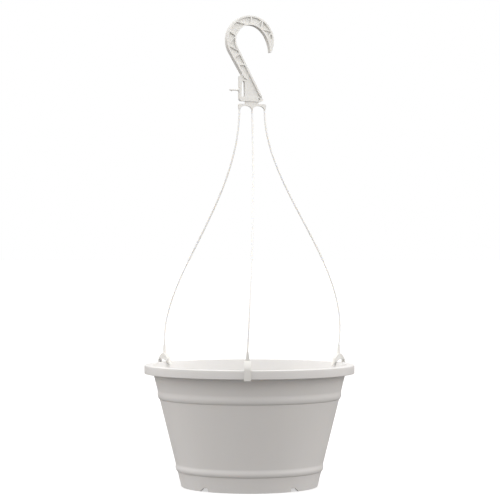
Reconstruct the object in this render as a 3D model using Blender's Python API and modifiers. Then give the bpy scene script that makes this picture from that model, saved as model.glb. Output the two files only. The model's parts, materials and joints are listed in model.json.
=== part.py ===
"""Hanging basket: a round plastic basket on a one-piece moulded hanger (hook, three strands, three rim clips).

Metres, +Z up, front towards -Y. The origin is on the floor under the basket's middle. Azimuths are
measured from the front towards +X.
"""
import math

import bmesh
import bpy
from mathutils import Matrix, Vector

MM = 0.001

# Basket
RIM_TOP = 150 * MM
RIM_RADIUS = 130 * MM
SKIRT_BOTTOM = 139.4 * MM
BASE_RADIUS = 84.3 * MM
WALL_SLOPE = 0.248
WALL = 1.55 * MM
FLOOR_UNDERSIDE = 5.2 * MM
FLOOR_TOP = 7.0 * MM
BEAD_OUT = 1.2 * MM
# Each bead runs from its top edge over a crest to a sharp lower edge.
BEADS = ((119.5 * MM, 111.6 * MM, 107.8 * MM), (29.5 * MM, 22.4 * MM, 18.9 * MM))
TURN_STEPS = 72
NOTCH_AZIMUTHS = (40.5, 139.5, 220.5, 319.5)
DRAIN_HOLES = 8
DRAIN_CIRCLE = 64 * MM
DRAIN_RADIUS = 2.75 * MM

# Hanger
STRAND_RADIUS = 1.1 * MM
CROWN_PLACE = Vector((3.2 * MM, 0, 464.8 * MM))
CROWN_YAW = math.radians(20)
ROOT_PITCH = 16.6 * MM
ROOT_GAP = 1.4 * MM
CLIP_AZIMUTHS = {"front": -1.0, "left": -120.0, "right": 115.0}
CLIP_AXIS_RADIUS = 130.5 * MM
CLIP_AXIS_HEIGHT = 138.1 * MM
CLIP_WIDTH = 8.0 * MM
INNER_LEG_WIDTH = 5.2 * MM
NECK_RADIUS = 124.5 * MM
NECK_TOP = 172.0 * MM
# Strand routes: root on the crown, then for each end the handle's height, lean outward and lean along +X.
STRANDS = {
    "front": (0, (110, 9, 6), (110, 2, 3)),
    "left": (-1, (88, 3, 0), (117, 2.5, 0)),
    "right": (1, (103, 17, 0), (100, 1.5, 0)),
}
STRAND_POINTS = 56

# Hook, in its own upright plane: X along the crown, Z up from the crown's hinge line
EYE = Vector((-3.4 * MM, 86.0 * MM))
EYE_OUTER = 30.7 * MM
EYE_INNER = 18.9 * MM
TIP_INNER = 29.3 * MM
TIP_TAPER = 3.5
TIP_ANGLE = -27
SHANK_ANGLE = 208.5
HOOK_DEPTH = 9.0 * MM
HOOK_WEB = 4.4 * MM
HOOK_FLANGE = 2.0 * MM
PLATE_DEPTH = 5.4 * MM
CROWN_DEPTH = 3.2 * MM
PEG_HEIGHT = 24.5 * MM
RIB = 0.9 * MM
# Truss ribs of the hook as (outer end, inner end), in degrees round the eye from the right.
RIBS = (
    (3, 3), (20, 11), (25, 41), (56, 49), (60, 67), (88, 88),
    (128, 108), (159, 163), (190, 171), (195, 215), (229, 227), (251, 261),
)

PARTS = "hanging_basket"
TOOLS = "hanging_basket_tools"


def clear_scene():
    for obj in list(bpy.data.objects):
        bpy.data.objects.remove(obj, do_unlink=True)
    for name in (PARTS, TOOLS):
        bpy.context.scene.collection.children.link(bpy.data.collections.new(name))


def plastic(name, colour, roughness):
    material = bpy.data.materials.new(name)
    material.use_nodes = True
    shader = material.node_tree.nodes["Principled BSDF"]
    shader.inputs["Base Color"].default_value = (*colour, 1)
    shader.inputs["Roughness"].default_value = roughness
    shader.inputs["Metallic"].default_value = 0
    return material


def add_object(name, mesh, collection, material=None):
    obj = bpy.data.objects.new(name, mesh)
    bpy.data.collections[collection].objects.link(obj)
    if material:
        mesh.materials.append(material)
    if collection == TOOLS:
        obj.hide_render = True
        obj.display_type = "WIRE"
    return obj


def arc(centre_x, centre_z, radius, start, stop, steps):
    """Points round a centre, from start to stop in degrees."""
    points = []
    for step in range(steps + 1):
        angle = math.radians(start + (stop - start) * step / steps)
        points.append((centre_x + radius * math.cos(angle), centre_z + radius * math.sin(angle)))
    return points


def in_mm(points):
    return [(x * MM, z * MM) for x, z in points]


def mesh_from_curve(curve_obj):
    """The curve's solid as a welded mesh, with the curve removed."""
    graph = bpy.context.evaluated_depsgraph_get()
    mesh = bpy.data.meshes.new_from_object(curve_obj.evaluated_get(graph))
    bpy.data.objects.remove(curve_obj, do_unlink=True)
    work = bmesh.new()
    work.from_mesh(mesh)
    bmesh.ops.remove_doubles(work, verts=work.verts, dist=1e-6)
    bmesh.ops.recalc_face_normals(work, faces=work.faces)
    work.to_mesh(mesh)
    work.free()
    mesh.materials.clear()
    return mesh


def plate_mesh(name, outlines, depth):
    """Flat plates standing in the XZ plane, centred on Y. An outline inside another is a hole."""
    curve = bpy.data.curves.new(name, "CURVE")
    curve.dimensions = "2D"
    curve.fill_mode = "BOTH"
    curve.extrude = depth / 2
    for outline in outlines:
        spline = curve.splines.new("POLY")
        spline.points.add(len(outline) - 1)
        for point, (x, z) in zip(spline.points, outline):
            point.co = (x, z, 0, 1)
        spline.use_cyclic_u = True
    holder = add_object(name, curve, TOOLS)
    mesh = mesh_from_curve(holder)
    mesh.transform(Matrix.Rotation(math.pi / 2, 4, "X"))
    return mesh


def boolean(obj, tool, operation):
    modifier = obj.modifiers.new(tool.name, "BOOLEAN")
    modifier.operation = operation
    modifier.solver = "EXACT"
    modifier.object = tool


def wall_outer(z):
    return BASE_RADIUS + WALL_SLOPE * z


def wall_inner(z):
    return wall_outer(z) - WALL


def bead_profile(top, crest, bottom):
    """A rib round the wall: it swells down to its crest and turns back sharply to the wall."""
    points = []
    for step in range(6):
        share = step / 5
        z = top + (crest - top) * share
        points.append((wall_outer(z) + BEAD_OUT * (1 - math.cos(math.pi * share)) / 2, z))
    for step in range(1, 4):
        share = step / 3
        z = crest + (bottom - crest) * share
        points.append((wall_outer(z) + BEAD_OUT * math.sqrt(1 - share * share), z))
    return points


def basket_profile():
    """From the middle of the floor up the inside, over the rim and down the outside to the underside."""
    lip = 0.8 * MM
    edge = 1.1 * MM
    small = 0.5 * MM
    corner = 2.6 * MM
    corner_top = FLOOR_TOP + corner
    profile = [(0, FLOOR_TOP)]
    profile += arc(wall_inner(corner_top) - corner, corner_top, corner, -90, -6, 4)
    inner_top = RIM_TOP - lip
    profile += arc(wall_inner(inner_top) + lip, inner_top, lip, 170, 90, 3)
    profile += arc(RIM_RADIUS - edge, RIM_TOP - edge, edge, 90, 0, 4)
    profile += arc(RIM_RADIUS - small, SKIRT_BOTTOM + small, small, 0, -90, 2)
    skirt_inner = RIM_RADIUS - WALL
    flange_under = RIM_TOP - WALL
    profile += [(skirt_inner + small, SKIRT_BOTTOM), (skirt_inner, SKIRT_BOTTOM + small)]
    profile += arc(skirt_inner - lip, flange_under - lip, lip, 0, 90, 2)
    profile += [(wall_outer(flange_under) + lip, flange_under)]
    profile += [(wall_outer(flange_under - lip), flange_under - lip)]
    for bead in BEADS:
        profile += bead_profile(*bead)
    foot_inner = BASE_RADIUS - 1.9 * MM
    profile += arc(wall_outer(small) - small, small, small, 0, -90, 2)
    profile += [(foot_inner, 0), (foot_inner - 0.3 * MM, FLOOR_UNDERSIDE), (0, FLOOR_UNDERSIDE)]
    return profile


def turned_mesh(name, profile):
    mesh = bpy.data.meshes.new(name)
    points = [(x, 0, z) for x, z in profile]
    mesh.from_pydata(points, [(i, i + 1) for i in range(len(points) - 1)], [])
    return mesh


def notch_tool(azimuth):
    """Cuts one rain notch through the foot: steep towards the front or back, sloping the other way."""
    outline = in_mm([(-6.5, -2), (-6.5, 3.3), (-5.5, 4.3), (0.5, 4.3), (6.5, 0), (7.5, -2)])
    if azimuth in (139.5, 319.5):
        outline = [(-x, z) for x, z in reversed(outline)]
    mesh = plate_mesh("notch_tool", [outline], 12 * MM)
    tool = add_object(f"notch_tool_{azimuth:.0f}", mesh, TOOLS)
    angle = math.radians(azimuth)
    tool.location = (BASE_RADIUS * math.sin(angle), -BASE_RADIUS * math.cos(angle), 0)
    tool.rotation_euler.z = angle
    return tool


def drain_tool():
    """All the floor's drain holes as one cutter of separate pins."""
    work = bmesh.new()
    for index in range(DRAIN_HOLES):
        angle = 2 * math.pi * (index + 0.5) / DRAIN_HOLES
        place = Matrix.Translation((DRAIN_CIRCLE * math.sin(angle), -DRAIN_CIRCLE * math.cos(angle), FLOOR_TOP))
        bmesh.ops.create_cone(
            work, cap_ends=True, segments=14, radius1=DRAIN_RADIUS, radius2=DRAIN_RADIUS,
            depth=10 * MM, matrix=place,
        )
    mesh = bpy.data.meshes.new("drain_tool")
    work.to_mesh(mesh)
    work.free()
    return add_object("drain_tool", mesh, TOOLS)


def build_basket(material):
    basket = add_object("basket", turned_mesh("basket", basket_profile()), PARTS, material)
    screw = basket.modifiers.new("turn", "SCREW")
    screw.steps = TURN_STEPS
    screw.render_steps = TURN_STEPS
    screw.use_merge_vertices = True
    screw.merge_threshold = 0.00001
    for azimuth in NOTCH_AZIMUTHS:
        boolean(basket, notch_tool(azimuth), "DIFFERENCE")
    boolean(basket, drain_tool(), "DIFFERENCE")
    return basket


def outward(azimuth):
    angle = math.radians(azimuth)
    return Vector((math.sin(angle), -math.cos(angle), 0))


def neck_point(azimuth):
    return outward(azimuth) * NECK_RADIUS + Vector((0, 0, NECK_TOP + 0.8 * MM))


def root_point(place):
    along = Vector((math.cos(CROWN_YAW), math.sin(CROWN_YAW), 0))
    return CROWN_PLACE + along * ROOT_PITCH * place - Vector((0, 0, ROOT_GAP))


def strand_route(side):
    """A cubic curve from the clip's neck up to the crown, as evenly stepped points."""
    place, low, high = STRANDS[side]
    out = outward(CLIP_AZIMUTHS[side])
    start = neck_point(CLIP_AZIMUTHS[side])
    end = root_point(place)
    first = start + (out * low[1] + Vector((low[2], 0, low[0]))) * MM
    second = end + (out * high[1] + Vector((high[2], 0, -high[0]))) * MM
    route = []
    for step in range(STRAND_POINTS):
        t = step / (STRAND_POINTS - 1)
        s = 1 - t
        route.append(start * s**3 + first * 3 * s * s * t + second * 3 * s * t * t + end * t**3)
    return route


def build_strand(side, material):
    route = strand_route(side)
    name = f"strand_{side}"
    curve = bpy.data.curves.new(name, "CURVE")
    curve.dimensions = "3D"
    curve.bevel_depth = STRAND_RADIUS
    curve.bevel_resolution = 2
    curve.use_fill_caps = True
    spline = curve.splines.new("POLY")
    spline.points.add(len(route) - 1)
    for point, place in zip(spline.points, route):
        point.co = (*(place - route[0]), 1)
    strand = add_object(name, curve, PARTS, material)
    strand.location = route[0]
    return strand


def clip_saddle():
    """Radial section of the outer leg, lip and arch. Origin on the lip's axis, +X outward."""
    reach = 16.6
    points = arc(0, 0, 1.0, 160, 290, 5)
    points += [(1.2, -0.75), (1.7, 0.3), (1.7, 11.9)]
    points += [(1.45, 14.2), (0.5, 16.7), (-1.2, 19.6), (-3.4, 22.2), (-4.6, 23.0)]
    points += [(-7.4, 23.0), (-9.6, 21.0), (-12.0, 18.0), (-12.9, 15.6)]
    points += arc(0, 0, reach, 131, 98, 6)
    points += [(-1.0, 15.9), (-0.3, 15.0), (-0.15, 14.0), (-0.15, 1.0)]
    return in_mm(points)


def clip_inner_leg():
    """Radial section of the leg inside the basket, its rim side on a circle round the lip's axis."""
    reach = 16.6
    points = [(-8.5, 18.5), (-11.5, 18.3), (-13.2, 16.4), (-14.4, 12.6), (-15.9, 9.4), (-16.3, 8.0)]
    points += [(-16.0, 7.4), (-15.4, 7.2)]
    points += arc(0, 0, reach, 153, 120, 6)
    return in_mm(points)


def clip_flare():
    """The strand's widened end, seen along the radius."""
    return in_mm([(-3.1, 21.5), (3.1, 21.5), (2.4, 24.5), (1.1, 33.9), (-1.1, 33.9), (-2.4, 24.5)])


def build_clip(side, material):
    name = f"clip_{side}"
    clip = add_object(name, plate_mesh(name, [clip_saddle()], CLIP_WIDTH), PARTS, material)
    azimuth = CLIP_AZIMUTHS[side]
    place = outward(azimuth) * CLIP_AXIS_RADIUS + Vector((0, 0, CLIP_AXIS_HEIGHT))
    leg = add_object(f"{name}_leg", plate_mesh("leg", [clip_inner_leg()], INNER_LEG_WIDTH), TOOLS)
    flare = add_object(f"{name}_flare", plate_mesh("flare", [clip_flare()], 2 * STRAND_RADIUS), TOOLS)
    flare.data.transform(Matrix.Rotation(math.pi / 2, 4, "Z"))
    flare.data.transform(Matrix.Translation((NECK_RADIUS - CLIP_AXIS_RADIUS, 0, 0)))
    for obj in (clip, leg, flare):
        obj.location = place
        obj.rotation_euler.z = math.radians(azimuth - 90)
    boolean(clip, leg, "UNION")
    boolean(clip, flare, "UNION")
    soften = clip.modifiers.new("edges", "BEVEL")
    soften.width = 0.25 * MM
    soften.segments = 1
    soften.limit_method = "ANGLE"
    soften.angle_limit = math.radians(50)
    return clip


def eye_point(angle, radius):
    turn = math.radians(angle)
    return EYE + Vector((math.cos(turn), math.sin(turn))) * radius


def inner_radius(angle):
    """The eye is round to its top and opens out towards the tip, which it meets in a thin edge."""
    if angle >= 90:
        return EYE_INNER
    share = (90 - angle) / (90 - TIP_ANGLE)
    return EYE_INNER + (TIP_INNER - EYE_INNER) * share**TIP_TAPER


def band_point(angle, radius):
    """A point on the hook's band. Past the shank angle the band runs straight down the shank."""
    if angle <= SHANK_ANGLE:
        return eye_point(angle, radius)
    run = math.radians(angle - SHANK_ANGLE) * (EYE_OUTER + EYE_INNER) / 2
    turn = math.radians(SHANK_ANGLE)
    return eye_point(SHANK_ANGLE, radius) + Vector((-math.sin(turn), math.cos(turn))) * run


def inner_edge(angle):
    return band_point(angle, inner_radius(angle))


def outer_edge(angle):
    return band_point(angle, EYE_OUTER)


def stations(start, stop, pitch=5.0):
    count = max(1, round(abs(stop - start) / pitch))
    return [start + (stop - start) * i / count for i in range(count + 1)]


def cell_outlines():
    """The openings between the hook's flanges and its truss ribs."""
    outer_gap = math.degrees(RIB / EYE_OUTER)
    inner_gap = math.degrees(RIB / EYE_INNER)
    cells = []
    for (outer_a, inner_a), (outer_b, inner_b) in zip(RIBS, RIBS[1:]):
        outside = stations(outer_a + outer_gap, outer_b - outer_gap)
        inside = stations(inner_b - inner_gap, inner_a + inner_gap)
        cell = [tuple(band_point(a, EYE_OUTER - HOOK_FLANGE)) for a in outside]
        cell += [tuple(band_point(a, inner_radius(a) + HOOK_FLANGE)) for a in inside]
        cells.append(cell)
    return cells


def frame_outline():
    """The hook's arch and shank. One flange ends over the slot, the other runs on to the plate's corner."""
    outline = [tuple(inner_edge(a)) for a in stations(SHANK_ANGLE, TIP_ANGLE)]
    middle = (TIP_INNER + EYE_OUTER) / 2
    half = (EYE_OUTER - TIP_INNER) / 2
    tip = eye_point(TIP_ANGLE, middle)
    outline += arc(tip.x, tip.y, half, TIP_ANGLE - 150, TIP_ANGLE - 30, 4)
    outline += [tuple(outer_edge(a)) for a in stations(TIP_ANGLE, SHANK_ANGLE)]
    outline += in_mm([(-11.7, 39.7), (-8.0, 37.6), (-17.4, 54.7), (-10.7, 54.7), (9.2, 17.2), (12.0, 16.4)])
    return outline


def web_outline():
    """The thin web that closes the cells and the plate, its edge buried in the flanges."""
    cover = 0.45 * HOOK_FLANGE
    outline = [tuple(band_point(a, inner_radius(a) + cover)) for a in stations(SHANK_ANGLE, 1)]
    outline += [tuple(band_point(a, EYE_OUTER - cover)) for a in stations(1, SHANK_ANGLE)]
    outline += in_mm([(-10.3, 39.0), (-9.4, 36.0), (-9.4, 15.3), (8.6, 15.3), (10.4, 17.0)])
    return outline


def plate_outline():
    """The plate's raised border: the bar beside the slot, the lower strip and the corner with the eyelet."""
    corner = 3.0
    points = [(-17.3, 40.2), (-17.0, 41.6), (-15.6, 42.3), (-12.6, 42.3), (-9.2, 39.0), (-8.3, 36.0)]
    points += [(-8.3, 16.2), (7.0, 16.2), (8.8, 18.2), (11.3, 17.0), (13.6, 13.8)]
    points += arc(10.6, 13.2, corner, 0, -90, 3)
    points += arc(-14.3, 13.8, corner, -90, -180, 3)
    return in_mm(points)


def eyelet_outline():
    return arc(8.2 * MM, 13.4 * MM, 1.3 * MM, 0, 324, 9)


def slot_outline():
    middle = -12.3 * MM
    return arc(middle, 18.0 * MM, 2.2 * MM, 0, -180, 5) + arc(middle, 33.6 * MM, 1.9 * MM, 180, 0, 5)


def crown_outline():
    """The bar over the three strand roots, arched between them."""
    half = ROOT_PITCH / MM
    points = arc(half - 0.4, 5.6, 1.9, 90, 0, 3) + [(half + 1.15, 1.6), (half - 1.15, 1.6)]
    for middle in (half / 2, -half / 2):
        for x, z in arc(0, 0, 1, 15, 165, 6):
            points.append((middle + x * 7.3, 1.2 + z * 4.0))
        root = middle - half / 2
        points += [(root + 1.15, 1.6), (root - 1.15, 1.6)]
    points += arc(-half + 0.4, 5.6, 1.9, 180, 90, 3)
    points += [(-9.0, 7.5), (-9.0, 11.0), (8.0, 11.0), (8.0, 7.5)]
    return in_mm(points)


def root_tool(place):
    """A round strand root whose end is a ball centred on the hinge line."""
    work = bmesh.new()
    rise = 4 * MM
    at = Matrix.Translation((place * ROOT_PITCH, 0, 0))
    bmesh.ops.create_uvsphere(work, u_segments=12, v_segments=8, radius=STRAND_RADIUS, matrix=at)
    for vert in work.verts:
        if vert.co.z > 1e-6:
            vert.co.z += rise
    mesh = bpy.data.meshes.new("root")
    work.to_mesh(mesh)
    work.free()
    return add_object(f"root_{place:+d}", mesh, TOOLS)


def tag_peg():
    """The barbed peg on the plate's left bar that holds a price tag: a turned bar along -X."""
    profile = [(-16.2, 0), (-16.2, 2.1), (-17.6, 1.9), (-20.4, 1.0), (-26.2, 0.95), (-26.4, 1.8), (-29.9, 0.5)]
    profile += [(-30.0, 0)]
    work = bmesh.new()
    verts = [work.verts.new((x * MM, 0, radius * MM)) for x, radius in profile]
    edges = [work.edges.new(pair) for pair in zip(verts, verts[1:])]
    bmesh.ops.spin(
        work, geom=verts + edges, cent=(0, 0, 0), axis=(1, 0, 0), angle=2 * math.pi, steps=12,
    )
    bmesh.ops.remove_doubles(work, verts=work.verts, dist=1e-6)
    bmesh.ops.recalc_face_normals(work, faces=work.faces)
    bmesh.ops.translate(work, verts=work.verts, vec=(0, 0, PEG_HEIGHT))
    mesh = bpy.data.meshes.new("peg")
    work.to_mesh(mesh)
    work.free()
    return add_object("hook_peg", mesh, TOOLS)


def build_hook(material):
    frame = plate_mesh("hook", [frame_outline(), *cell_outlines()], HOOK_DEPTH)
    hook = add_object("hook", frame, PARTS, material)
    plate = plate_mesh("plate", [plate_outline(), slot_outline(), eyelet_outline()], PLATE_DEPTH)
    joined = [
        add_object("hook_web", plate_mesh("web", [web_outline()], HOOK_WEB), TOOLS),
        add_object("hook_plate", plate, TOOLS),
        add_object("hook_crown", plate_mesh("crown", [crown_outline()], CROWN_DEPTH), TOOLS),
        tag_peg(),
        *(root_tool(place) for place in (-1, 0, 1)),
    ]
    for obj in (hook, *joined):
        obj.location = CROWN_PLACE
        obj.rotation_euler.z = CROWN_YAW
    for tool in joined:
        boolean(hook, tool, "UNION")
    return hook


def main():
    clear_scene()
    basket_plastic = plastic("basket_plastic", (0.80, 0.79, 0.77), 0.42)
    hanger_plastic = plastic("hanger_plastic", (0.84, 0.83, 0.80), 0.38)
    build_basket(basket_plastic)
    build_hook(hanger_plastic)
    for side in CLIP_AZIMUTHS:
        build_strand(side, hanger_plastic)
        build_clip(side, hanger_plastic)


main()
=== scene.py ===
"""Looks of the hanging basket: matte off-white moulded plastic in plain soft studio light."""
import json
import math

import bmesh
import bpy
from mathutils import Matrix, Vector


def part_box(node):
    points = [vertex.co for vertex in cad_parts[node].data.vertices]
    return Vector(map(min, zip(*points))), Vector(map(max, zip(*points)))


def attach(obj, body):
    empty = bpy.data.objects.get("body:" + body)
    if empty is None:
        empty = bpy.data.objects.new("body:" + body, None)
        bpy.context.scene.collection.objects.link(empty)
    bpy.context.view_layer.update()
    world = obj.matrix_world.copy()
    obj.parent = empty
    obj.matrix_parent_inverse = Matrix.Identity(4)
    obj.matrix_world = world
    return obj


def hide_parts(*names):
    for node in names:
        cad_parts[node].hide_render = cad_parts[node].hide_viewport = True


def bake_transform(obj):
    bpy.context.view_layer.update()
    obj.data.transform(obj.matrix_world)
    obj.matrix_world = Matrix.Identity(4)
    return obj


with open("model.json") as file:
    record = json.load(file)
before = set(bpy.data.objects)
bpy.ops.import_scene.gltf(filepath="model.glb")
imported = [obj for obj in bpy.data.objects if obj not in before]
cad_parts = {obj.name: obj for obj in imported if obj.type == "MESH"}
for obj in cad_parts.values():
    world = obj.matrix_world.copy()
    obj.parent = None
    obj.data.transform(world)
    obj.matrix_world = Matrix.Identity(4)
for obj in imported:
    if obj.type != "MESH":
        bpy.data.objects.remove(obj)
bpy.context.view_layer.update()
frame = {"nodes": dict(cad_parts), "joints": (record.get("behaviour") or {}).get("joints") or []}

MM = 0.001
SIDES = ("front", "left", "right")
JOINTS = {joint["name"]: joint for joint in frame["joints"]}
RIM_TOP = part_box("basket")[1].z
RIM_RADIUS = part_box("basket")[1].x

# Camera: level, a little above the rim, far enough back for a long lens
CAMERA_DISTANCE = 2.5
CAMERA_RISE = 141.7 * MM
CAMERA_SIDE = 0.7 * MM
METRES_PER_FRAME = 0.619
SENSOR = 36
NEAREST_SEEN = 50 * MM

# Plastics: lightest and darkest colour of the mottling
BASKET_COLOURS = ((0.795, 0.788, 0.778), (0.775, 0.767, 0.756))
HANGER_COLOURS = ((0.83, 0.825, 0.80), (0.81, 0.803, 0.775))
# Strands: the hanger's plastic made lighter, as painted light shining through the thin strands; the
# pair is still the mottling's lightest and darkest colour
STRAND_COLOURS_PAINTED_LIGHT = ((0.91, 0.905, 0.885), (0.89, 0.885, 0.865))
BASKET_ROUGHNESS = 0.46
HANGER_ROUGHNESS = 0.40
SPECULAR = 0.42
# How the flow pattern is drawn out along the way that each moulding was filled
BASKET_FLOW = (1, 1, 0.25)
HANGER_FLOW = (1, 1, 0.4)
# How much light goes under a surface, and how far: thick walls and thin strands
SURFACE_GLOW = (0.12, 1.5 * MM)
STRAND_GLOW = (0.6, 3.0 * MM)
# Noise scales, and each bump's strength and depth
MOTTLE_SCALE = 14
GLOSS_SCALE = 60
GRAIN_SCALE = 2600
WAVE_SCALE = 45
GRAIN_BUMP = (0.05, 0.06 * MM)
WAVE_BUMP = (0.25, 0.2 * MM)
# The part of a noise texture's values that is used
NOISE_RANGE = (0.35, 0.65)

# Studio: the brightness of each zone of the surroundings
OVERHEAD = 1.33
FRONT_LEVEL = 0.38
SIDES_LEVEL = 2.35
BACK_LEVEL = 0.4
FRONT_BELOW = 0.42
SIDES_BELOW = 0.20
WARM_LIGHT = (1.0, 0.962, 0.935)
# Where one zone changes into the next, along one axis of the direction looked at
BACK_EDGE = (0.2, 0.95)
FRONT_EDGE = (-0.2, -0.95)
BELOW_EDGE = (-0.15, 0.2)
OVERHEAD_EDGE = (0.25, 0.8)
# Lamps: angles in degrees
TOP_LIGHT = 0.12
TOP_LIGHT_ANGLE = 70
TOP_LIGHT_LEAN = 22
TOP_LIGHT_TILT = -6
HOOK_LIGHT = 0.2
HOOK_LIGHT_SIZE = 0.5
HOOK_LIGHT_SPREAD = 40
HOOK_LIGHT_PLACE = (0.40, -0.75, 0.85)
# Floor
FLOOR_SIZE = 60
FLOOR_PLACE = (0, 20, 0)
FLOOR_COLOUR = (0.6, 0.6, 0.6)
FLOOR_ROUGHNESS = 0.9
FLOOR_GLOW = 0.5

# Strands, as built in the CAD part, but reaching into the mouldings at both ends.
# Each has its place on the crown, then each end's handle in mm: height, lean out, lean along +X.
STRAND_RADIUS = 1.1 * MM
NECK_RADIUS = 124.5 * MM
NECK_TOP = 172.0 * MM
NECK_GAP = 0.8 * MM
NECK_INSERT = 2.5 * MM
ROOT_GAP = 1.4 * MM
ROOT_INSERT = 3.0 * MM
ROOT_PITCH = 16.6 * MM
STRANDS = {
    "front": (0, (110, 9, 6), (110, 2, 3)),
    "left": (-1, (88, 3, 0), (117, 2.5, 0)),
    "right": (1, (103, 17, 0), (100, 1.5, 0)),
}
STRAND_STEPS = 160

# Finish of the hook and the clips: rounding of their edges
HOOK_ROUNDING = 0.3 * MM
CLIP_ROUNDING = 0.12 * MM
BEVEL_SEGMENTS = 3
WELD_DISTANCE = 0.01 * MM
FLAT_ANGLE = 0.5
SHARP_ANGLE = 32
STRAND_SHARP_ANGLE = 50

# Basket, as built in the CAD part, with beads that stand out a little further
SKIRT_BOTTOM = 139.4 * MM
BASE_RADIUS = 84.3 * MM
WALL_SLOPE = 0.248
WALL = 1.55 * MM
FLOOR_UNDERSIDE = 5.2 * MM
FLOOR_TOP = 7.0 * MM
BEAD_OUT = 1.45 * MM
BEADS = ((119.5 * MM, 111.6 * MM, 107.8 * MM), (29.5 * MM, 22.4 * MM, 18.9 * MM))
BEAD_SWELL_STEPS = 14
BEAD_TURN_STEPS = 8
TURN_STEPS = 240
FOOT_WIDTH = 1.9 * MM
NOTCH_AZIMUTHS = (40.5, 139.5, 220.5, 319.5)
MIRRORED_NOTCHES = (139.5, 319.5)
NOTCH_OUTLINE = ((-6.5, -2), (-6.5, 3.3), (-6.2, 4.0), (-5.5, 4.3), (0.5, 4.3), (6.5, 0), (7.5, -2))
NOTCH_DEPTH = 12 * MM
DRAIN_HOLES = 8
DRAIN_CIRCLE = 64 * MM
DRAIN_RADIUS = 2.75 * MM
DRAIN_SEGMENTS = 40
DRAIN_CUT = 10 * MM
GATE_RADIUS = 2.4 * MM
GATE_HEIGHT = 0.9 * MM
RING_RADIUS = 21 * MM
RING_HEIGHT = 0.35 * MM


def link(name, data):
    """A new object of the scene."""
    obj = bpy.data.objects.new(name, data)
    bpy.context.scene.collection.objects.link(obj)
    return obj


def make_camera():
    """A long lens that looks along +Y, level."""
    camera = bpy.data.cameras.new("camera")
    camera.sensor_width = SENSOR
    camera.lens = SENSOR * CAMERA_DISTANCE / METRES_PER_FRAME
    camera.clip_start = NEAREST_SEEN
    holder = link("camera", camera)
    holder.location = (CAMERA_SIDE, -CAMERA_DISTANCE, RIM_TOP + CAMERA_RISE)
    holder.rotation_euler = (math.pi / 2, 0, 0)
    bpy.context.scene.camera = holder


def make_world():
    """A white studio whose zones differ in brightness. The camera sees plain white."""
    world = bpy.data.worlds.new("studio")
    bpy.context.scene.world = world
    world.use_nodes = True
    tree = world.node_tree
    tree.nodes.clear()
    coords = tree.nodes.new("ShaderNodeTexCoord")
    parts = tree.nodes.new("ShaderNodeSeparateXYZ")
    tree.links.new(coords.outputs["Generated"], parts.inputs[0])
    towards_back = add_range(tree, parts.outputs["Y"], BACK_EDGE)
    towards_front = add_range(tree, parts.outputs["Y"], FRONT_EDGE)
    level = tree_blend(tree, SIDES_LEVEL, FRONT_LEVEL, towards_front)
    level = tree_blend(tree, level, BACK_LEVEL, towards_back)
    below = tree_blend(tree, SIDES_BELOW, FRONT_BELOW, towards_front)
    above_floor = add_range(tree, parts.outputs["Z"], BELOW_EDGE)
    overhead = add_range(tree, parts.outputs["Z"], OVERHEAD_EDGE)
    light = tree_blend(tree, below, level, above_floor)
    light = tree_blend(tree, light, OVERHEAD, overhead)
    tint = tree.nodes.new("ShaderNodeMix")
    tint.data_type = "RGBA"
    tint.inputs["A"].default_value = (*WARM_LIGHT, 1)
    tint.inputs["B"].default_value = (1, 1, 1, 1)
    tree.links.new(overhead, tint.inputs["Factor"])
    lit = tree.nodes.new("ShaderNodeBackground")
    tree.links.new(tint.outputs["Result"], lit.inputs["Color"])
    tree.links.new(light, lit.inputs["Strength"])
    seen = tree.nodes.new("ShaderNodeBackground")
    seen.inputs["Color"].default_value = (1, 1, 1, 1)
    path = tree.nodes.new("ShaderNodeLightPath")
    choice = tree.nodes.new("ShaderNodeMixShader")
    out = tree.nodes.new("ShaderNodeOutputWorld")
    tree.links.new(path.outputs["Is Camera Ray"], choice.inputs[0])
    tree.links.new(lit.outputs[0], choice.inputs[1])
    tree.links.new(seen.outputs[0], choice.inputs[2])
    tree.links.new(choice.outputs[0], out.inputs["Surface"])


def add_range(tree, value, source):
    """Remaps a value smoothly from a range to 0 to 1."""
    node = tree.nodes.new("ShaderNodeMapRange")
    node.interpolation_type = "SMOOTHSTEP"
    node.inputs["From Min"].default_value, node.inputs["From Max"].default_value = source
    node.inputs["To Min"].default_value, node.inputs["To Max"].default_value = 0, 1
    tree.links.new(value, node.inputs["Value"])
    return node.outputs["Result"]


def tree_blend(tree, first, second, share):
    """Mixes two numbers or sockets by a share."""
    node = tree.nodes.new("ShaderNodeMix")
    tree.links.new(share, node.inputs["Factor"])
    for socket, value in ((node.inputs["A"], first), (node.inputs["B"], second)):
        if isinstance(value, (int, float)):
            socket.default_value = value
        else:
            tree.links.new(value, socket)
    return node.outputs["Result"]


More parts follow.
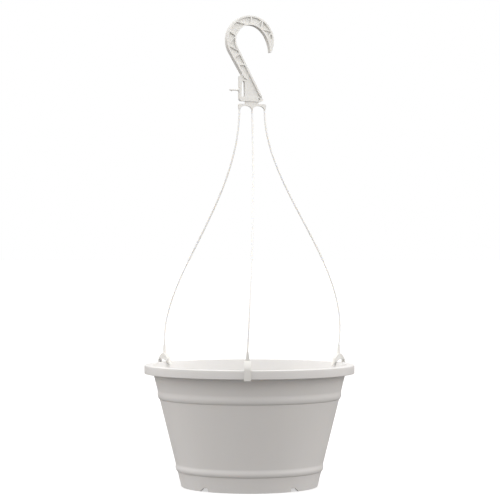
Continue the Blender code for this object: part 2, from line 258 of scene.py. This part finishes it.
def make_studio():
    """Weak softboxes above and towards the hook, and a pale floor that throws no light back."""
    light = bpy.data.lights.new("top_softbox", "SUN")
    light.energy = TOP_LIGHT
    light.angle = math.radians(TOP_LIGHT_ANGLE)
    holder = link("top_softbox", light)
    holder.rotation_euler = (math.radians(TOP_LIGHT_LEAN), math.radians(TOP_LIGHT_TILT), 0)
    lamp = bpy.data.lights.new("hook_softbox", "AREA")
    lamp.size = HOOK_LIGHT_SIZE
    lamp.energy = HOOK_LIGHT
    lamp.spread = math.radians(HOOK_LIGHT_SPREAD)
    lamp_holder = link("hook_softbox", lamp)
    lamp_holder.location = HOOK_LIGHT_PLACE
    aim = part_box("hook")[1] - Vector(HOOK_LIGHT_PLACE)
    lamp_holder.rotation_euler = aim.to_track_quat("-Z", "Y").to_euler()
    bpy.ops.mesh.primitive_plane_add(size=FLOOR_SIZE, location=FLOOR_PLACE)
    floor = bpy.context.object
    floor.name = "floor"
    floor.visible_diffuse = False
    floor.visible_glossy = False
    floor.visible_shadow = False
    material, shader = new_material("pale_floor", FLOOR_COLOUR, FLOOR_ROUGHNESS)
    shader.inputs["Specular IOR Level"].default_value = 0.0
    shader.inputs["Emission Color"].default_value = (1, 1, 1, 1)
    shader.inputs["Emission Strength"].default_value = FLOOR_GLOW
    see_through_from_below(material.node_tree, shader)
    floor.data.materials.append(material)


def see_through_from_below(tree, shader):
    """Leaves the floor's lower side clear, so that the underside can be looked at."""
    side = tree.nodes.new("ShaderNodeNewGeometry")
    clear = tree.nodes.new("ShaderNodeBsdfTransparent")
    choice = tree.nodes.new("ShaderNodeMixShader")
    tree.links.new(side.outputs["Backfacing"], choice.inputs[0])
    tree.links.new(shader.outputs[0], choice.inputs[1])
    tree.links.new(clear.outputs[0], choice.inputs[2])
    tree.links.new(choice.outputs[0], tree.nodes["Material Output"].inputs["Surface"])


def new_material(name, colour, roughness):
    """A material and its shader."""
    material = bpy.data.materials.new(name)
    material.use_nodes = True
    shader = material.node_tree.nodes["Principled BSDF"]
    shader.inputs["Base Color"].default_value = (*colour, 1)
    shader.inputs["Roughness"].default_value = roughness
    return material, shader


def add_noise(tree, scale, detail, low, high, vector=None):
    """A noise texture with its values spread between low and high."""
    noise = tree.nodes.new("ShaderNodeTexNoise")
    noise.inputs["Scale"].default_value = scale
    noise.inputs["Detail"].default_value = detail
    remap = tree.nodes.new("ShaderNodeMapRange")
    remap.inputs["From Min"].default_value, remap.inputs["From Max"].default_value = NOISE_RANGE
    remap.inputs["To Min"].default_value = low
    remap.inputs["To Max"].default_value = high
    if vector:
        tree.links.new(vector, noise.inputs["Vector"])
    tree.links.new(noise.outputs["Fac"], remap.inputs["Value"])
    return remap.outputs["Result"]


def add_bump(tree, height, size, normal=None):
    """A bump of a strength and a depth, on top of another one if that is given."""
    bump = tree.nodes.new("ShaderNodeBump")
    bump.inputs["Strength"].default_value, bump.inputs["Distance"].default_value = size
    tree.links.new(height, bump.inputs["Height"])
    if normal:
        tree.links.new(normal, bump.inputs["Normal"])
    return bump.outputs["Normal"]


def moulded_plastic(name, colours, roughness, flow_stretch, glow):
    """Off-white polypropylene: faint flow mottling, uneven gloss and a fine moulded grain."""
    light_colour, dark_colour = colours
    material, shader = new_material(name, light_colour, roughness)
    tree = material.node_tree
    coords = tree.nodes.new("ShaderNodeTexCoord")
    stretch = tree.nodes.new("ShaderNodeMapping")
    stretch.inputs["Scale"].default_value = flow_stretch
    tree.links.new(coords.outputs["Object"], stretch.inputs["Vector"])
    flow = add_noise(tree, MOTTLE_SCALE, 3, 0, 1, stretch.outputs["Vector"])
    tint = tree.nodes.new("ShaderNodeMix")
    tint.data_type = "RGBA"
    tint.inputs["A"].default_value = (*light_colour, 1)
    tint.inputs["B"].default_value = (*dark_colour, 1)
    tree.links.new(flow, tint.inputs["Factor"])
    tree.links.new(tint.outputs["Result"], shader.inputs["Base Color"])
    place = coords.outputs["Object"]
    gloss = add_noise(tree, GLOSS_SCALE, 4, roughness - 0.05, roughness + 0.06, place)
    tree.links.new(gloss, shader.inputs["Roughness"])
    grain = add_noise(tree, GRAIN_SCALE, 2, 0, 1, place)
    waves = add_noise(tree, WAVE_SCALE, 2, 0, 1, stretch.outputs["Vector"])
    broad = add_bump(tree, waves, WAVE_BUMP)
    tree.links.new(add_bump(tree, grain, GRAIN_BUMP, broad), shader.inputs["Normal"])
    shader.inputs["Specular IOR Level"].default_value = SPECULAR
    weight, reach = glow
    shader.inputs["Subsurface Weight"].default_value = weight
    shader.inputs["Subsurface Radius"].default_value = (1.0, 0.9, 0.75)
    shader.inputs["Subsurface Scale"].default_value = reach
    return material


def arc(centre_x, centre_z, radius, start, stop, steps):
    """Points round a centre, from start to stop in degrees."""
    points = []
    for step in range(steps + 1):
        angle = math.radians(start + (stop - start) * step / steps)
        points.append((centre_x + radius * math.cos(angle), centre_z + radius * math.sin(angle)))
    return points


def wall_outer(z):
    """The wall's outer radius at a height."""
    return BASE_RADIUS + WALL_SLOPE * z


def wall_inner(z):
    """The wall's inner radius at a height."""
    return wall_outer(z) - WALL


def bead_profile(top, crest, bottom):
    """A rib round the wall: it swells down to its crest and turns back sharply to the wall."""
    points = []
    for step in range(BEAD_SWELL_STEPS + 1):
        share = step / BEAD_SWELL_STEPS
        z = top + (crest - top) * share
        points.append((wall_outer(z) + BEAD_OUT * (1 - math.cos(math.pi * share)) / 2, z))
    for step in range(1, BEAD_TURN_STEPS + 1):
        share = step / BEAD_TURN_STEPS
        z = crest + (bottom - crest) * share
        points.append((wall_outer(z) + BEAD_OUT * math.sqrt(1 - share * share), z))
    return points


def underside_profile():
    """From the foot in to the middle, with the mould's faint ring and its gate mark."""
    foot_inner = BASE_RADIUS - FOOT_WIDTH
    profile = [(foot_inner + 0.2 * MM, 0), (foot_inner, 0.2 * MM)]
    profile += [(foot_inner - 0.3 * MM, FLOOR_UNDERSIDE - 0.4 * MM)]
    profile += [(foot_inner - 0.7 * MM, FLOOR_UNDERSIDE)]
    ring_low = FLOOR_UNDERSIDE - RING_HEIGHT
    profile += [(RING_RADIUS + 0.8 * MM, FLOOR_UNDERSIDE), (RING_RADIUS + 0.4 * MM, ring_low)]
    profile += [(RING_RADIUS - 0.4 * MM, ring_low), (RING_RADIUS - 0.8 * MM, FLOOR_UNDERSIDE)]
    gate_low = FLOOR_UNDERSIDE - GATE_HEIGHT
    profile += [(GATE_RADIUS + 0.6 * MM, FLOOR_UNDERSIDE), (GATE_RADIUS, gate_low + 0.2 * MM)]
    profile += [(GATE_RADIUS - 0.3 * MM, gate_low), (0.5 * MM, gate_low + 0.1 * MM)]
    profile += [(0, gate_low + 0.1 * MM)]
    return profile


def basket_profile():
    """From the middle of the floor up the inside, over the rim and down to the underside."""
    lip = 0.8 * MM
    edge = 1.1 * MM
    small = 0.5 * MM
    corner = 2.6 * MM
    corner_top = FLOOR_TOP + corner
    profile = [(0, FLOOR_TOP)]
    profile += arc(wall_inner(corner_top) - corner, corner_top, corner, -90, -6, 12)
    inner_top = RIM_TOP - lip
    profile += arc(wall_inner(inner_top) + lip, inner_top, lip, 170, 90, 8)
    profile += arc(RIM_RADIUS - edge, RIM_TOP - edge, edge, 90, 0, 10)
    profile += arc(RIM_RADIUS - small, SKIRT_BOTTOM + small, small, 0, -90, 6)
    skirt_inner = RIM_RADIUS - WALL
    flange_under = RIM_TOP - WALL
    profile += [(skirt_inner + small, SKIRT_BOTTOM), (skirt_inner, SKIRT_BOTTOM + small)]
    profile += arc(skirt_inner - lip, flange_under - lip, lip, 0, 90, 6)
    profile += [(wall_outer(flange_under) + lip, flange_under)]
    profile += [(wall_outer(flange_under - lip), flange_under - lip)]
    for bead in BEADS:
        profile += bead_profile(*bead)
    profile += arc(wall_outer(small) - small, small, small, 0, -90, 6)
    return profile + underside_profile()


def notch_cutter(azimuth):
    """One rain notch through the foot: steep towards the front or back, sloping the other way."""
    outline = NOTCH_OUTLINE
    if azimuth in MIRRORED_NOTCHES:
        outline = [(-x, z) for x, z in reversed(outline)]
    work = bmesh.new()
    near = [work.verts.new((x * MM, -NOTCH_DEPTH / 2, z * MM)) for x, z in outline]
    face = work.faces.new(near)
    grown = bmesh.ops.extrude_face_region(work, geom=[face])["geom"]
    moved = [item for item in grown if isinstance(item, bmesh.types.BMVert)]
    bmesh.ops.translate(work, verts=moved, vec=(0, NOTCH_DEPTH, 0))
    bmesh.ops.recalc_face_normals(work, faces=work.faces)
    mesh = bpy.data.meshes.new("notch")
    work.to_mesh(mesh)
    work.free()
    angle = math.radians(azimuth)
    cutter = link(f"notch_{azimuth:.0f}", mesh)
    cutter.location = (BASE_RADIUS * math.sin(angle), -BASE_RADIUS * math.cos(angle), 0)
    cutter.rotation_euler.z = angle
    return cutter


def drain_cutter():
    """All the floor's drain holes as one cutter of separate pins."""
    work = bmesh.new()
    for index in range(DRAIN_HOLES):
        angle = 2 * math.pi * (index + 0.5) / DRAIN_HOLES
        across, along = DRAIN_CIRCLE * math.sin(angle), -DRAIN_CIRCLE * math.cos(angle)
        place = Matrix.Translation((across, along, FLOOR_TOP))
        bmesh.ops.create_cone(
            work, cap_ends=True, segments=DRAIN_SEGMENTS, radius1=DRAIN_RADIUS,
            radius2=DRAIN_RADIUS, depth=DRAIN_CUT, matrix=place,
        )
    mesh = bpy.data.meshes.new("drain")
    work.to_mesh(mesh)
    work.free()
    return link("drain", mesh)


def bake_modifiers(obj):
    """Replaces the object's mesh by its evaluated one."""
    graph = bpy.context.evaluated_depsgraph_get()
    mesh = bpy.data.meshes.new_from_object(obj.evaluated_get(graph))
    obj.modifiers.clear()
    obj.data = mesh


def make_basket(material):
    """The whole moulding as one turned shell, cut by the foot's notches and the drain holes."""
    mesh = bpy.data.meshes.new("basket_shell")
    points = [(x, 0, z) for x, z in basket_profile()]
    mesh.from_pydata(points, [(i, i + 1) for i in range(len(points) - 1)], [])
    mesh.materials.append(material)
    shell = link("basket_shell", mesh)
    screw = shell.modifiers.new("turn", "SCREW")
    screw.steps = TURN_STEPS
    screw.render_steps = TURN_STEPS
    screw.use_merge_vertices = True
    screw.merge_threshold = WELD_DISTANCE
    cutters = [notch_cutter(azimuth) for azimuth in NOTCH_AZIMUTHS] + [drain_cutter()]
    for cutter in cutters:
        cut = shell.modifiers.new(cutter.name, "BOOLEAN")
        cut.operation = "DIFFERENCE"
        cut.object = cutter
    bake_modifiers(shell)
    shell.data.shade_smooth()
    shell.data.set_sharp_from_angle(angle=math.radians(SHARP_ANGLE))
    for cutter in cutters:
        bpy.data.objects.remove(cutter, do_unlink=True)
    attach(shell, "basket")
    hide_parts("basket")


def outward(joint_name):
    """The radial direction of a clip, from its joint's place."""
    place = Vector(JOINTS[joint_name]["pos_m"])
    return Vector((place.x, place.y, 0)).normalized()


def strand_route(side):
    """The strand's centre line from inside the clip's neck to inside the crown's root."""
    place, low, high = STRANDS[side]
    out = outward(f"clip_{side}_release")
    fold = JOINTS["hook_fold"]
    start = out * NECK_RADIUS + Vector((0, 0, NECK_TOP + NECK_GAP))
    root = Vector(fold["pos_m"]) + Vector(fold["axis"]) * ROOT_PITCH * place
    end = root - Vector((0, 0, ROOT_GAP))
    first = start + (out * low[1] + Vector((low[2], 0, low[0]))) * MM
    second = end + (out * high[1] + Vector((high[2], 0, -high[0]))) * MM
    route = []
    for step in range(STRAND_STEPS + 1):
        t = step / STRAND_STEPS
        s = 1 - t
        route.append(start * s**3 + first * 3 * s * s * t + second * 3 * s * t * t + end * t**3)
    return [start - Vector((0, 0, NECK_INSERT)), *route, end + Vector((0, 0, ROOT_INSERT))]


def tube(name, points, radii):
    """A round mesh tube along the points."""
    curve = bpy.data.curves.new(name, "CURVE")
    curve.dimensions = "3D"
    curve.bevel_depth = 1.0
    curve.bevel_resolution = 4
    curve.use_fill_caps = True
    spline = curve.splines.new("POLY")
    spline.points.add(len(points) - 1)
    for point, place, radius in zip(spline.points, points, radii):
        point.co = (*place, 1)
        point.radius = radius
    holder = link(name, curve)
    graph = bpy.context.evaluated_depsgraph_get()
    mesh = bpy.data.meshes.new_from_object(holder.evaluated_get(graph))
    bpy.data.objects.remove(holder, do_unlink=True)
    mesh.shade_smooth()
    mesh.set_sharp_from_angle(angle=math.radians(STRAND_SHARP_ANGLE))
    return link(name, mesh)


def make_strand(side, material):
    """Two pieces that meet halfway: the lower runs up from the clip, the upper on to the hook."""
    route = strand_route(side)
    half = len(route) // 2
    radii = [STRAND_RADIUS] * len(route)
    radii[0] = radii[-1] = 0.8 * STRAND_RADIUS
    lower = tube(f"strand_{side}_lower", route[: half + 1], radii[: half + 1])
    upper = tube(f"strand_{side}_upper", route[half:], radii[half:])
    for piece in (lower, upper):
        piece.data.materials.clear()
        piece.data.materials.append(material)
        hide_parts(f"strand_{side}")
    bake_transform(lower)
    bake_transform(upper)


def refine(node_name, body, material, rounding):
    """A finished copy of a CAD node: welded flat faces, rounded edges and smooth curves."""
    work = bmesh.new()
    work.from_mesh(frame["nodes"][node_name].data)
    bmesh.ops.remove_doubles(work, verts=work.verts, dist=WELD_DISTANCE)
    bmesh.ops.dissolve_limit(
        work, angle_limit=math.radians(FLAT_ANGLE), verts=work.verts, edges=work.edges
    )
    mesh = bpy.data.meshes.new(f"{node_name}_moulding")
    work.to_mesh(mesh)
    work.free()
    mesh.materials.clear()
    mesh.materials.append(material)
    piece = link(f"{node_name}_moulding", mesh)
    soften = piece.modifiers.new("soften", "BEVEL")
    soften.width = rounding
    soften.segments = BEVEL_SEGMENTS
    soften.limit_method = "ANGLE"
    soften.angle_limit = math.radians(SHARP_ANGLE)
    mesh.shade_smooth()
    even = piece.modifiers.new("even", "WEIGHTED_NORMAL")
    even.keep_sharp = True
    bake_modifiers(piece)
    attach(piece, body)
    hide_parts(node_name)


def main():
    """Camera and studio first, then the basket, the hook, and each clip with its strand."""
    make_camera()
    make_world()
    make_studio()
    basket_plastic = moulded_plastic(
        "basket_plastic", BASKET_COLOURS, BASKET_ROUGHNESS, BASKET_FLOW, SURFACE_GLOW
    )
    hanger_plastic = moulded_plastic(
        "hanger_plastic", HANGER_COLOURS, HANGER_ROUGHNESS, HANGER_FLOW, SURFACE_GLOW
    )
    # The strands' lighter colour is painted light shining through them
    strand_plastic_painted_light = moulded_plastic(
        "strand_plastic_painted_light", STRAND_COLOURS_PAINTED_LIGHT, HANGER_ROUGHNESS, HANGER_FLOW, STRAND_GLOW
    )
    make_basket(basket_plastic)
    refine("hook", "hook", hanger_plastic, HOOK_ROUNDING)
    for side in SIDES:
        refine(f"clip_{side}", f"clip_{side}", hanger_plastic, CLIP_ROUNDING)
        make_strand(side, strand_plastic_painted_light)
    bpy.context.scene.view_settings.view_transform = "Standard"


main()
